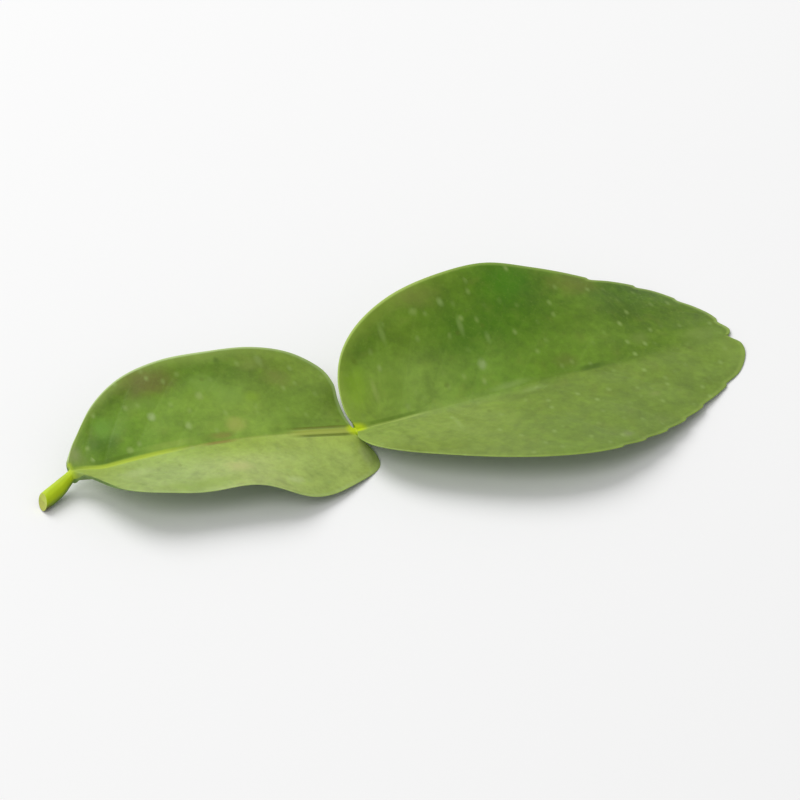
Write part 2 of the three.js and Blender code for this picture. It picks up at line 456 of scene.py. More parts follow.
@dataclass
class Sheet:
    """Works out the skin of a lamina, finely enough for its veins."""

    lamina: Lamina
    rows: int = 320
    columns: int = 208
    vein_lead: float = 2.4
    vein_evenness: float = 0.06
    vein_curve: float = 1.25
    midrib_crowding: float = 1.6
    swell: float = 0.03
    rolling: float = 0.08
    vein_above: Pair = (-0.006, 0.3)
    vein_below: Pair = (-0.07, 0.32)

    def share(self) -> tuple[Array, Array]:
        """The angle round a row, and the share of the half width there, signed by its half."""
        angle = -2 * np.pi * np.arange(self.columns) / self.columns
        cosine = np.cos(angle)
        return angle, np.sign(cosine) * np.abs(cosine) ** self.midrib_crowding

    def _half(self, half: Half, u: Array, angle: Array, share: Array, fine: bool) -> Rows:
        """One half of every row.

        The row leaves the midrib at the share u^vein_lead, with a little of u itself, and curves
        as share^vein_curve to the margin's place at u. Its section is a circle where it is no
        wider than the rib, and else a thin sheet, round at the margin, with a rib underneath.

        Args:
            half: which half.
            u: shares of the margin's length, one a row.
            angle: angles round the row, one a column.
            share: shares of the half width, one a column.
            fine: whether the relief is added.

        Returns:
            Points and numbers.
        """
        lamina = self.lamina
        thin = lamina.thickness / 2
        edge = lamina.margin(half).at(u, lamina.length, lamina.half_width)
        u, angle, share = u[:, None], angle[None, :], np.abs(share)[None, :]
        midrib = lerp(u**self.vein_lead, u, self.vein_evenness)
        radius = lamina.radius(midrib)
        run = edge[:, :1] - midrib * lamina.length
        width = edge[:, 1:]
        full = np.hypot(run, width)
        reach = share * (1 - lamina.margin(half).cut(u) / full)
        across = width * reach
        x = lamina.start + midrib * lamina.length + run * reach**self.vein_curve

        flat = smoothstep(1.05, 2.6, full / radius)
        section = np.sqrt(np.clip(1 - share ** (2 + 10 * flat), 0.0, None))
        upper = np.sin(angle) > 1e-9
        half_thick = lerp(radius, thin, flat) * section
        ridge = flat * np.clip(2 * radius - 2 * thin, 0.0, None) * bell(across / radius, 0.9)
        lift = np.where(upper, half_thick, -half_thick - ridge * section)

        phase = lamina.veins.phase(u, share, half)
        ahead, aside = np.gradient(x, axis=0), np.gradient(across, axis=0)
        apart = np.abs(ahead * (width / full) - aside * (run / full))
        gap = apart / (np.abs(np.gradient(phase, axis=0)) + 1e-6)
        numbers = filled(
            across,
            across_mm=half.value * across,
            along_mm=x,
            share=share,
            reach_mm=full,
            vein_phase=phase,
            vein_gap_mm=gap,
            upper=np.where(np.abs(np.sin(angle)) < 1e-9, 0.5, upper),
            flat=flat,
            scar=0.0,
        )
        if fine:
            lift = lift + self._relief(numbers)
        points = lamina.bend(half, x, across, lift - (1 - flat) * (radius - thin))
        return {"points": points} | numbers

    def _relief(self, numbers: Rows) -> Array:
        """Fine relief: the side veins, swells between them and a low rolling of the whole sheet.

        A vein is depth * exp(-(distance / width)^2), with each face's own depth and width, a
        swell is a cosine of the phase, and the rolling is a product of two waves plus a third.

        Args:
            numbers: the rows' numbers, in which a side vein's phase ends in 0.5.

        Returns:
            The lift to add, the same on both faces but for the veins.
        """
        x, across = numbers["along_mm"], np.abs(numbers["across_mm"])
        share, flat, upper = numbers["share"], numbers["flat"], numbers["upper"] > 0.5
        phase, gap = numbers["vein_phase"], numbers["vein_gap_mm"]
        vein = np.abs(phase - np.floor(phase) - 0.5) * gap
        fade = flat * smoothstep(1.0, 0.7, share) * smoothstep(0.3, 1.6, across)
        swell = self.swell * fade * -np.cos(2 * np.pi * (phase - 0.5)) * smoothstep(1.5, 4.0, gap)
        crossing = np.sin(0.31 * x + 0.42 * across + 1.0) * np.sin(0.23 * x - 0.37 * across)
        waves = crossing + 0.5 * np.sin(0.71 * x - 0.55 * across + 2.0)
        inside = flat * smoothstep(1.0, 0.86, share) * smoothstep(0.5, 5.0, across)
        depth, width = (
            np.where(upper, above, below) for above, below in zip(self.vein_above, self.vein_below)
        )
        return swell + self.rolling * inside * waves + depth * fade * bell(vein, width)

    def rows_of(self, u: Array, fine: bool = True) -> Rows:
        """Whole rows at the given shares of the margins.

        Args:
            u: shares of the margins' length.
            fine: whether the veins and swells are added.

        Returns:
            Points and numbers, one row for each u and one column for each angle.
        """
        angle, share = self.share()
        left, right = (self._half(half, u, angle, share, fine) for half in Half)
        on_left = share > 0
        points = np.where(on_left[:, None], left.pop("points"), right.pop("points"))
        kept = {name: np.where(on_left, values, right[name]) for name, values in left.items()}
        return {"points": points} | kept


@dataclass
class Stalk:
    """The short round stalk, bent down from the wing's foot to its end, which is cut aslant."""

    end: Triple = (-46.2, -1.2, 1.09)
    middle: Triple = (-43.45, 0.25, 1.15)
    foot: Triple = (-41.0, 1.6, 2.225)
    cut_face: Triple = (-0.95, -0.12, 0.29)
    end_radius: float = 1.2
    foot_radius: float = 0.95
    hollow: float = 0.16
    wrinkle: float = 0.012
    wrinkles: int = 9
    rings: int = 64
    face_rings: int = 14
    last_ring: float = 0.985
    girth: tuple[Pair, ...] = (
        (0.0, 0.93), (0.015, 0.97), (0.05, 0.98), (0.25, 1.03), (0.45, 1.05), (0.65, 1.03),
        (0.85, 1.0), (1.0, 1.0),
    )

    def _axis(self, t: Array) -> tuple[Array, Array]:
        """The axis, a quadratic curve through three handles.

        Args:
            t: shares of the way from the end to the foot.

        Returns:
            The places on the axis and its unit directions there.
        """
        a, b, c = (np.array(p) for p in (self.end, self.middle, self.foot))
        t = t[:, None]
        place = (1 - t) ** 2 * a + 2 * t * (1 - t) * b + t**2 * c
        along = 2 * (1 - t) * (b - a) + 2 * t * (c - b)
        return place, along / np.linalg.norm(along, axis=1, keepdims=True)

    def rings_of(self, angle: Array) -> Rows:
        """The rings of the cut face, a shallow dish, and of the stalk behind it.

        A ring is a circle square to the axis, and square to X at the wing's foot. Towards the
        end it slides along the axis into the cut, on whose face its radius r grows from 0 as
        sin(pi k / 2) and it lies hollow * (1 - r^2) deep.

        Args:
            angle: angles round a ring.

        Returns:
            Points and numbers, one row a ring, from the dish's middle on.
        """
        faces = self.face_rings
        inner = np.sin(np.pi / 2 * np.arange(1, faces + 1) / (faces + 1))
        t = np.linspace(0.0, self.last_ring, self.rings)
        at, share = np.array(self.girth).T
        radius = np.concatenate([inner * share[0], np.interp(t, at, share)])
        t = np.concatenate([np.zeros(faces), t])
        radius = radius * lerp(self.end_radius, self.foot_radius, t)
        place, along = self._axis(t)
        place[:faces] += along[:faces] * (self.hollow * (1 - inner**2))[:, None]
        along = lerp(along, np.array([1.0, 0.0, 0.0]), smoothstep(0.4, 1.0, t)[:, None])
        along /= np.linalg.norm(along, axis=1, keepdims=True)
        left = np.cross([0.0, 0.0, 1.0], along)
        left /= np.linalg.norm(left, axis=1, keepdims=True)
        waves = np.sin(self.wrinkles * angle + 0.7) * smoothstep(0.02, 0.2, t)[:, None]
        girth = radius[:, None] * (1 + self.wrinkle * waves)
        across, above = (girth * turn for turn in (np.cos(angle), np.sin(angle)))
        out = across[..., None] * left[:, None] + above[..., None] * np.cross(along, left)[:, None]
        slide = (1 - smoothstep(0.0, 0.35, t)) / (along @ self.cut_face)
        slant = slide[:, None] * (out @ self.cut_face)
        points = place[:, None] + out - slant[..., None] * along[:, None]
        scar = np.concatenate([np.ones(faces), bell(t[faces:], 0.012)])
        return {"points": points} | filled(
            across,
            across_mm=across,
            along_mm=points[..., 0],
            share=0.0,
            reach_mm=radius[:, None],
            vein_phase=0.0,
            vein_gap_mm=10.0,
            upper=0.5 + 0.5 * np.sin(angle),
            flat=0.0,
            scar=scar[:, None],
        )

    def centre(self) -> Array:
        """The deepest point of the cut face's dish."""
        place, along = self._axis(np.zeros(1))
        return place[0] + along[0] * self.hollow


@dataclass
class Leaf:
    """The whole leaf: its two laminas and its stalk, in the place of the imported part."""

    blade: Sheet = field(default_factory=lambda: Sheet(BLADE))
    wing: Sheet = field(default_factory=lambda: Sheet(WING, rows=250))
    stalk: Stalk = field(default_factory=Stalk)
    tuck: float = 0.8
    tuck_rings: int = 8
    pole: float = 0.1

    def shift(self) -> Array:
        """Where the leaf goes: its box is centred on the part's and stands at the same height.

        Returns:
            Millimetres to add.
        """
        parts = [
            self.stalk.rings_of(self.wing.share()[0]),
            self.wing.rows_of(np.linspace(0, 1, 200), fine=False),
            self.blade.rows_of(np.linspace(0, 0.998, 400), fine=False),
        ]
        every = np.concatenate([part["points"].reshape(-1, 3) for part in parts])
        low, high = (np.array(corner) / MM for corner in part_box(NODE_NAME))
        middle = (low + high - every.min(0) - every.max(0)) / 2
        middle[2] = low[2] - every[:, 2].min()
        return middle

    def _tucked(self, band: Rows, row: int, way: float) -> Rows:
        """A round end for a piece, hidden in its neighbour at the node.

        Each ring is the row at the node, drawn in by cos(a) and pushed along x by tuck * sin(a),
        for a up to a quarter turn.

        Args:
            band: the piece's rows.
            row: which of them is at the node.
            way: 1 towards the apex and -1 towards the stalk.

        Returns:
            Rows in order away from the given one.
        """
        a = np.pi / 2 * np.arange(1, self.tuck_rings + 1) / (self.tuck_rings + 1)
        made = {name: np.repeat(values[row][None], len(a), axis=0) for name, values in band.items()}
        centre = made["points"].mean(axis=1, keepdims=True)
        push = way * self.tuck * np.sin(a)[:, None, None] * np.array([1.0, 0.0, 0.0])
        made["points"] = centre + (made["points"] - centre) * np.cos(a)[:, None, None] + push
        return made

    def winged_petiole(self) -> Skin:
        """The stalk and the wing.

        Returns:
            One skin from the cut end to inside the blade's foot.
        """
        stalk = self.stalk.rings_of(self.wing.share()[0])
        wing = self.wing.rows_of(np.linspace(0, 1, self.wing.rows))
        node = self._tucked(wing, -1, 1.0)
        last = node["points"][-1].mean(axis=0) + [self.pole, 0.0, 0.0]
        return Skin("winged_petiole", (stalk, wing, node), self.stalk.centre(), last)

    def blade_skin(self) -> Skin:
        """The blade.

        Returns:
            Its skin from inside the wing's end to the apex.
        """
        blade = self.blade.rows_of(np.linspace(0, 1, self.blade.rows + 1)[:-1])
        node = {name: values[::-1] for name, values in self._tucked(blade, 0, -1.0).items()}
        first = node["points"][0].mean(axis=0) - [self.pole, 0.0, 0.0]
        apex = BLADE.bend(Half.LEFT, *np.array([[BLADE.length], [0.0], [0.0]]))[0]
        return Skin("blade", (node, blade), first, apex)

    def build(self) -> dict[str, bpy.types.Object]:
        """Makes both pieces, which ride on the part's one body and stand for its one node.

        Returns:
            The pieces by name.
        """
        shift = self.shift()
        made = {}
        for skin in (self.winged_petiole(), self.blade_skin()):
            piece = skin.build(shift)
            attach(piece, "root")
            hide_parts(NODE_NAME)
            made[skin.name] = piece
            size = np.round(np.array(piece.dimensions) / MM, 1)
            LOG.info("%s: %d faces, %s mm", skin.name, len(piece.data.polygons), size)
        return made


# ---------------------------------------------------------------- shader nodes


Operand = Union["Number", float]
Hue = Union["Tint", Triple]
Stops = dict[float, Triple]


def operator(operation: str, reflected: bool = False) -> Callable[["Number", Operand], "Number"]:
    """A Python operator that adds a Math node.

    Args:
        operation: the node's operation.
        reflected: whether self stands on the right.

    Returns:
        The method.
    """

    def apply(self: "Number", other: Operand) -> "Number":
        """The operation on the two sides, in their order."""
        sides = (other, self) if reflected else (self, other)
        return self.math(operation, *sides)

    return apply


@dataclass(frozen=True)
class Wire:
    """An output socket of a node, in the tree that it belongs to."""

    tree: "Tree"
    socket: bpy.types.NodeSocket


class Number(Wire):
    """A number worked out by shader nodes, on which Python's operators add Math nodes."""

    __add__ = __radd__ = operator("ADD")
    __mul__ = __rmul__ = operator("MULTIPLY")
    __sub__, __rsub__ = operator("SUBTRACT"), operator("SUBTRACT", reflected=True)
    __truediv__, __rtruediv__ = operator("DIVIDE"), operator("DIVIDE", reflected=True)
    __pow__, __rpow__ = operator("POWER"), operator("POWER", reflected=True)

    def math(self, operation: str, *numbers: Operand) -> "Number":
        """A Math node of the given operation on the given numbers."""
        node = self.tree.add("ShaderNodeMath", dict(enumerate(numbers)), operation=operation)
        return Number(self.tree, node.outputs[0])

    def __abs__(self) -> "Number":
        """The size of self."""
        return self.math("ABSOLUTE", self)

    def smooth(self, low: float, high: float) -> "Number":
        """Smoothly from 0 at low to 1 at high. Where low is over high it falls instead."""
        values = {"Value": self, "From Min": low, "From Max": high}
        node = self.tree.add("ShaderNodeMapRange", values, interpolation_type="SMOOTHSTEP")
        return Number(self.tree, node.outputs["Result"])


class Tint(Wire):
    """A colour worked out by shader nodes."""

    def under(self, *layers: tuple[Hue, Operand]) -> "Tint":
        """Lays other colours over self.

        Args:
            layers: the colours in order, each with how much of it is mixed in.

        Returns:
            The mixed colour.
        """
        mixed = self
        for colour, factor in layers:
            mixed = self.tree.mix(mixed, colour, factor)
        return mixed

    def scaled(self, factor: Operand) -> "Tint":
        """self made lighter or darker by factor."""
        values = {0: self, "Scale": factor}
        node = self.tree.add("ShaderNodeVectorMath", values, operation="SCALE")
        return Tint(self.tree, node.outputs[0])


class Tree:
    """The shader nodes of a material or of the world."""

    def __init__(self, owner: bpy.types.Material | bpy.types.World) -> None:
        """Empties the owner's nodes, to build them anew."""
        owner.use_nodes = True
        self.nodes = owner.node_tree.nodes
        self.links = owner.node_tree.links
        self.nodes.clear()

    def add(
        self, kind: str, inputs: dict[Any, Any] | None = None, **settings: Any
    ) -> bpy.types.Node:
        """Makes any node.

        Args:
            kind: the node's type.
            inputs: a Number, Tint, socket or plain value for each of its sockets to be fed.
            settings: its settings, which are set first, such as a ramp's stops.

        Returns:
            The node.
        """
        node = self.nodes.new(kind)
        for key, value in settings.items():
            if key == "stops":
                self._set_stops(node.color_ramp, value)
            else:
                setattr(node, key, value)
        for key, value in (inputs or {}).items():
            value = value.socket if isinstance(value, Wire) else value
            if isinstance(value, bpy.types.NodeSocket):
                self.links.new(value, node.inputs[key])
            elif node.inputs[key].type == "RGBA":
                node.inputs[key].default_value = (*value, 1.0)
            else:
                node.inputs[key].default_value = value
        return node

    def vector(self, operation: str, first: Any, second: Any) -> bpy.types.NodeSocket:
        """A Vector Math node of the given operation on two vectors."""
        inputs = {0: first, 1: second}
        return self.add("ShaderNodeVectorMath", inputs, operation=operation).outputs[0]

    def finish(self, inputs: dict[str, Any]) -> None:
        """Puts a Principled shader with those inputs on the material's output."""
        shader = self.add("ShaderNodeBsdfPrincipled", inputs)
        self.add("ShaderNodeOutputMaterial", {"Surface": shader.outputs[0]})

    def seen(self) -> Number:
        """Tells what sees a surface.

        Returns:
            1 for a ray of the camera, or one sent on by gloss or glass, and 0 for light.
        """
        path = self.add("ShaderNodeLightPath").outputs
        rays = (path[f"Is {kind} Ray"] for kind in ("Camera", "Glossy", "Transmission"))
        camera, glossy, transmitted = (Number(self, ray) for ray in rays)
        return camera.math("MINIMUM", camera + glossy + transmitted, 1.0)

    def number(self, name: str) -> Number:
        """A number that the mesh holds at each point."""
        node = self.add("ShaderNodeAttribute", attribute_name=name)
        return Number(self, node.outputs["Fac"])

    def place(self, size: float, stretch: Triple = (1.0, 1.0, 1.0)) -> bpy.types.NodeSocket:
        """Object coordinates, counted in steps.

        Args:
            size: a step in millimetres.
            stretch: how many times longer it is along each axis.

        Returns:
            The coordinates' socket.
        """
        scale = tuple(1 / (MM * size * s) for s in stretch)
        coordinates = self.add("ShaderNodeTexCoord").outputs["Object"]
        node = self.add("ShaderNodeMapping", {"Vector": coordinates, "Scale": scale})
        return node.outputs["Vector"]

    def noise(
        self, size: float, detail: float, roughness: float, distortion: float = 0.0
    ) -> Number:
        """Smooth noise from 0 to 1.

        Args:
            size: the width of its features in millimetres.
            detail: how many finer layers it has.
            roughness: how strong each is beside the one before.
            distortion: how far its features are bent.

        Returns:
            The noise.
        """
        values = {"Scale": 1.0, "Detail": detail, "Roughness": roughness, "Distortion": distortion}
        node = self.add("ShaderNodeTexNoise", {"Vector": self.place(size)} | values)
        return Number(self, node.outputs["Fac"])

    def cells(
        self,
        size: float,
        wobble: float = 0.0,
        stretch: Triple = (1.0, 1.0, 1.0),
        feature: str = "F1",
        dimensions: str = "3D",
    ) -> tuple[Number, bpy.types.NodeSocket | None]:
        """Voronoi cells.

        Args:
            size: a cell's width in millimetres.
            wobble: how many cells noise moves the edges by.
            stretch: how many times wider a cell is along each axis.
            feature: the distance that it gives.
            dimensions: 2D for cells that are upright columns.

        Returns:
            The distance and, where there is one, the colour of each cell.
        """
        vector = self.place(size, stretch)
        if wobble:
            values = {"Vector": self.place(size * 1.6), "Scale": 1.0, "Detail": 1.0}
            noise = self.add("ShaderNodeTexNoise", values).outputs["Color"]
            vector = self.vector("ADD", vector, self.vector("MULTIPLY", noise, (wobble,) * 3))
        settings = {"feature": feature, "voronoi_dimensions": dimensions}
        node = self.add("ShaderNodeTexVoronoi", {"Vector": vector, "Scale": 1.0}, **settings)
        return Number(self, node.outputs["Distance"]), node.outputs.get("Color")

    def _set_stops(self, band: bpy.types.ColorRamp, stops: Stops) -> None:
        """Sets the colours of a new ramp, joined smoothly.

        Args:
            band: the ramp, which has a stop at each end.
            stops: the colours in order, the first at 0 and the last at 1.
        """
        first, *between, last = stops
        band.interpolation = "EASE"
        for at in between:
            band.elements.new(at).color = (*stops[at], 1.0)
        for place, at in ((0, first), (-1, last)):
            band.elements[place].color = (*stops[at], 1.0)

    def ramp(self, number: Number, stops: Stops) -> Tint:
        """Colours between stops.

        Args:
            number: the number to be coloured.
            stops: the colours in order, each at a value of number.

        Returns:
            The colour at the number.
        """
        low, high = min(stops), max(stops)
        shares = {(at - low) / (high - low): colour for at, colour in stops.items()}
        node = self.add("ShaderNodeValToRGB", {0: (number - low) / (high - low)}, stops=shares)
        return Tint(self, node.outputs[0])

    def mix(self, first: Hue, last: Hue, factor: Operand) -> Tint:
        """first mixed with last by factor."""
        node = self.add("ShaderNodeMix", {0: factor, 6: first, 7: last}, data_type="RGBA")
        return Tint(self, node.outputs[2])

    def relief(self, height: Number) -> bpy.types.NodeSocket:
        """The normal of a surface with that height in millimetres on it."""
        values = {"Strength": 1.0, "Distance": MM, "Height": height}
        return self.add("ShaderNodeBump", values).outputs["Normal"]


# ---------------------------------------------------------------- finishes


class Chart:
    """Where each point lies on the leaf, and the fine patterns that are drawn there."""

    def __init__(self, tree: Tree) -> None:
        """Reads the mesh's numbers and works out veins, nets, oil glands, flecks and noises.

        Args:
            tree: where the nodes go.
        """
        self.tree = tree
        self.along, self.across = map(tree.number, ("along_mm", "across_mm"))
        self.share, self.reach = map(tree.number, ("share", "reach_mm"))
        self.upper, self.flat, self.scar = map(tree.number, ("upper", "flat", "scar"))
        phase, gap = map(tree.number, ("vein_phase", "vein_gap_mm"))
        self.from_midrib = abs(self.across)
        self.from_margin = (1.0 - self.share) * self.reach
        self.left = self.across.smooth(-0.3, 0.3)

        side_vein = abs(phase.math("FRACT", phase) - 0.5) * gap
        turn = phase * (2.0 * np.pi)
        loop = abs(self.share - 0.865 - turn.math("COSINE", turn) * 0.045) * self.reach
        side_line = side_vein.smooth(0.34, 0.08) * self.share.smooth(0.9, 0.72)
        loop_line = loop.smooth(0.26, 0.06) * gap.smooth(1.5, 3.0) * 0.5
        self.lines = phase.math("MAXIMUM", side_line * gap.smooth(0.6, 2.0), loop_line) * self.flat
        net, _ = tree.cells(2.3, 0.5, feature="DISTANCE_TO_EDGE")
        fine_net, _ = tree.cells(0.85, 0.4, feature="DISTANCE_TO_EDGE")
        self.net = (net.smooth(0.11, 0.0) * 0.65 + fine_net.smooth(0.16, 0.02) * 0.35) * self.flat
        self.glands = tree.cells(0.8)[0].smooth(0.24, 0.1) * self.flat
        self.flecks = self._scatter(2.3, 1.35, (0.4, 1.0), (0.24, 0.0))
        self.pits = self._scatter(4.1, 1.0, (0.8, 1.0), (0.13, 0.03))

        self.cloud = tree.noise(9.0, 2.0, 0.5, 0.4)
        self.mottle = tree.noise(4.2, 2.0, 0.55, 0.6)
        self.speckle = tree.noise(1.4, 3.0, 0.6)
        self.warmth = tree.noise(2.9, 3.0, 0.6, 0.3)
        self.grain = tree.noise(0.75, 2.0, 0.6)
        self.shake = (tree.noise(2.2, 3.0, 0.6) - 0.5) * 0.9

    def _scatter(self, size: float, longer: float, chosen: Pair, radius: Pair) -> Number:
        """Small marks, one in the middle of each chosen cell.

        Args:
            size: a cell's width in millimetres.
            longer: how many times longer a cell is across the leaf.
            chosen: the lots from which a mark shows and is at its strongest.
            radius: where a mark ends and where it is full, in cells.

        Returns:
            1 in the strongest marks and 0 between them.
        """
        away, colour = self.tree.cells(size, stretch=(1.0, longer, 1.0), dimensions="2D")
        parted = self.tree.add("ShaderNodeSeparateColor", {0: colour})
        lot = Number(self.tree, parted.outputs[0])
        return away.smooth(*radius) * lot.smooth(*chosen) * self.flat


@dataclass(frozen=True)
class HalfTint:
    """The green of one half of a lamina: colours along it beside the midrib and further out. A
    right half's paler green holds painted sheen.
    """

    inner: Stops
    outer: Stops
    turn: Pair

    def tint(self, chart: Chart) -> Tint:
        """The inner colours, which give way to the outer ones between the two ends of turn."""
        inner, outer = (chart.tree.ramp(chart.along, stops) for stops in (self.inner, self.outer))
        return inner.under((outer, chart.from_midrib.smooth(*self.turn)))


@dataclass(frozen=True)
class StainOrShade:
    """A soft oval of another colour, at a place in the flat lamina: a real mark, or a patch of
    painted shade.
    """

    along: float
    across: float
    length: float
    width: float
    colour: Triple
    strength: float

    def mask(self, chart: Chart) -> Number:
        """strength inside the oval, whose edge is ragged, and 0 outside it."""
        x = (chart.along - self.along) / self.length
        y = (chart.across - self.across) / self.width
        return ((x * x + y * y) ** 0.5 + chart.shake).smooth(1.2, 0.15) * self.strength


@dataclass(frozen=True)
class Streak:
    """A thin line along the midrib, at a distance to its left, that fades at both ends."""

    start: float
    end: float
    side: float
    width: float
    colour: Triple
    strength: float
    fade: float = 2.0
    height: float = 0.0

    def mask(self, chart: Chart) -> Number:
        """The product of three soft steps: off the line, before its start and past its end.

        Args:
            chart: where each point lies.

        Returns:
            strength on the line and 0 off it.
        """
        line = abs(chart.across - self.side).smooth(self.width, self.width * 0.3)
        begun = chart.along.smooth(self.start - self.fade, self.start + self.fade)
        ended = chart.along.smooth(self.end + self.fade, self.end - self.fade)
        return line * begun * ended * self.strength


@dataclass(frozen=True)
class LeafFinish:
    """A fresh citrus lamina: waxy and mottled green above, paler and more matt underneath."""

    name: str
    left: HalfTint
    right: HalfTint
    margin: Triple
    margin_line: Triple
    margin_glow: Pair
    stains_and_shade: tuple[StainOrShade, ...]
    streaks: tuple[Streak, ...]
    midrib_soft: tuple[Triple, ...] = ()
    sap: Triple = (0.53, 0.68, 0.012)
    vein: Triple = (0.23, 0.36, 0.05)
    rust: Triple = (0.22, 0.27, 0.04)
    fleck: Triple = (0.3, 0.42, 0.11)
    pit: Triple = (0.1, 0.13, 0.012)
    below: Triple = (0.2, 0.31, 0.1)
    below_vein: Triple = (0.3, 0.42, 0.14)
    below_cloud: Triple = (0.12, 0.21, 0.05)
    # The stalk's yellow-green lightened by painted highlight on top, and a painted shade for its
    # underside.
    stalk_top_highlight: Triple = (0.48, 0.64, 0.012)
    stalk_under_shade: Triple = (0.09, 0.19, 0.004)
    scar_rim: Triple = (0.13, 0.1, 0.03)
    scar: Triple = (0.6, 0.65, 0.13)
    waxy: float = 0.4
    matt: float = 0.58
    index: float = 1.45
    gloss: float = 0.22
    through: float = 0.08
    through_reach: Triple = (0.35, 0.6, 0.12)

    def _upper(self, chart: Chart) -> Tint:
        """The upper face: both halves' greens, mottled, with marks, a patch of painted shade,
        flecks and faint veins. The right half's paler green holds painted sheen.

        The midrib between the halves is a soft step, as wide as midrib_soft says: from each
        start to its end it widens by the third number. A glow of the margin's colour lies beside
        the left margin, from the first to the second place of margin_glow.

        Args:
            chart: the places and patterns.

        Returns:
            The colour.
        """
        soft = 0.3
        for start, end, more in self.midrib_soft:
            soft = chart.along.smooth(start, end) * more + soft
        side = (chart.across / soft + chart.shake * 0.3).smooth(-1.0, 1.0)
        # The right half's paler green is partly painted sheen; side mixes it with the left half's
        # deeper green.
        left, right = self.left.tint(chart), self.right.tint(chart)
        broad = (chart.cloud - 0.5) * 0.4 + (chart.mottle - 0.5) * 0.5
        fine = (chart.speckle - 0.5) * 0.65 + (chart.grain - 0.5) * 0.25
        blotch = (chart.mottle * 0.6 + chart.speckle * 0.4).smooth(0.5, 0.72)
        near, far = self.margin_glow
        glow = chart.along.smooth(far, near) * chart.left
        line = chart.from_margin.smooth(0.75, 0.25) * chart.flat
        return (
            right.under((left, side))
            .scaled(broad + fine + 1.0)
            .under(
                (self.vein, blotch * 0.2),
                (self.rust, chart.warmth.smooth(0.5, 0.75) * 0.22),
                (self.margin, chart.from_margin.smooth(4.5, 0.0) * glow * 0.45),
                *((stain_or_shade.colour, stain_or_shade.mask(chart)) for stain_or_shade in self.stains_and_shade),
                (self.vein, chart.net * 0.1 + chart.glands * 0.14),
                (self.vein, chart.lines * chart.cloud.smooth(0.35, 0.65) * 0.1),
                (self.fleck, chart.flecks * chart.mottle.smooth(0.3, 0.6) * 0.75),
                (self.pit, chart.pits * 0.4),
                (self.margin_line, line * (glow * 0.45 + chart.left * 0.15 + 0.2)),
            )
        )

    def _under(self, chart: Chart) -> Tint:
        """The underside, paler, with its veins standing out.

        Args:
            chart: the places and patterns.

        Returns:
            The colour.
        """
        veins = chart.lines * 0.8 + chart.net * 0.35
        return chart.tree.mix(self.below, self.below_vein, veins).under(
            (self.below_cloud, chart.cloud.smooth(0.4, 0.75) * 0.3),
            (self.below_vein, chart.from_midrib.smooth(0.9, 0.3) * 0.8),
        )

    def _stalk(self, chart: Chart, colour: Tint) -> Tint:
        """Lays the sap colour of the node, the stalk with painted highlight on top and painted
        shade underneath, and its cut end over a lamina's colour.

        Args:
            chart: the places and patterns.
            colour: the lamina's colour.

        Returns:
            The colour with them.
        """
        along, across, upper = chart.along, chart.across, chart.upper
        away = (along * along * 1.2 + across * across * 2.2) ** 0.5
        node = (away + chart.shake * 0.6).smooth(2.1, 0.8) * (upper * 0.5 + 0.5)
        stem = (1.0 - chart.flat) * along.smooth(-30.0, -10.0) * 0.9
        # Painted light and shade: the stalk's top is lightened and its underside darkened.
        stalk = chart.tree.mix(self.stalk_under_shade, self.stalk_top_highlight, upper.smooth(0.2, 0.85))
        # Brown on the underside of the stalk's end, beside the cut.
        end_underside_brown = along.smooth(-44.9, -45.6) * upper.smooth(0.65, 0.3)
        return colour.under(
            (self.sap, node.math("MAXIMUM", node, stem)),
            (
                stalk.scaled((chart.mottle - 0.5) * 0.5 + 1.0),
                along.smooth(-40.4, -41.5) * chart.from_midrib.smooth(1.6, 1.1),
            ),
            (self.scar_rim, end_underside_brown * chart.speckle.smooth(0.3, 0.45) * 0.8),
            (self.scar, chart.scar.smooth(0.75, 1.0) * (chart.speckle * 0.5 + 0.5)),
        )

    def dress(self, piece: bpy.types.Object) -> None:
        """Makes the finish's material and gives it to the piece.

        Args:
            piece: a piece whose mesh holds the numbers that the chart reads.
        """
        material = bpy.data.materials.new(self.name)
        tree = Tree(material)
        chart = Chart(tree)
        upper, flat = chart.upper, chart.flat

        masks = [(streak, streak.mask(chart)) for streak in self.streaks]
        ridges = sum(mask * streak.height for streak, mask in masks)
        # Some streaks are painted shade in the midrib's crease and grooves, and one a painted
        # highlight on the crease's flank.
        above = self._upper(chart).under(*((streak.colour, mask) for streak, mask in masks))
        colour = self._stalk(chart, self._under(chart).under((above, upper)))
        waxy = self.waxy + chart.mottle.smooth(0.3, 0.75) * 0.1 - chart.glands * 0.04
        fine = tree.noise(0.45, 2.0, 0.6) * 0.004 + chart.speckle * 0.014 + chart.glands * 0.005
        veins = (chart.net * 0.005 + chart.lines * 0.01) * (upper * 2.0 - 1.0)
        stalk = (1.0 - flat) * tree.noise(0.7, 3.0, 0.6) * 0.03
        tree.finish(
            {
                "Base Color": colour,
                "Roughness": waxy * upper + (1.0 - upper) * self.matt,
                "Normal": tree.relief((fine - veins + ridges * upper) * flat + stalk),
                "IOR": self.index,
                "Specular IOR Level": self.gloss,
                "Subsurface Weight": self.through,
                "Subsurface Radius": self.through_reach,
                "Subsurface Scale": MM,
            },
        )
        piece.data.materials.clear()
        piece.data.materials.append(material)


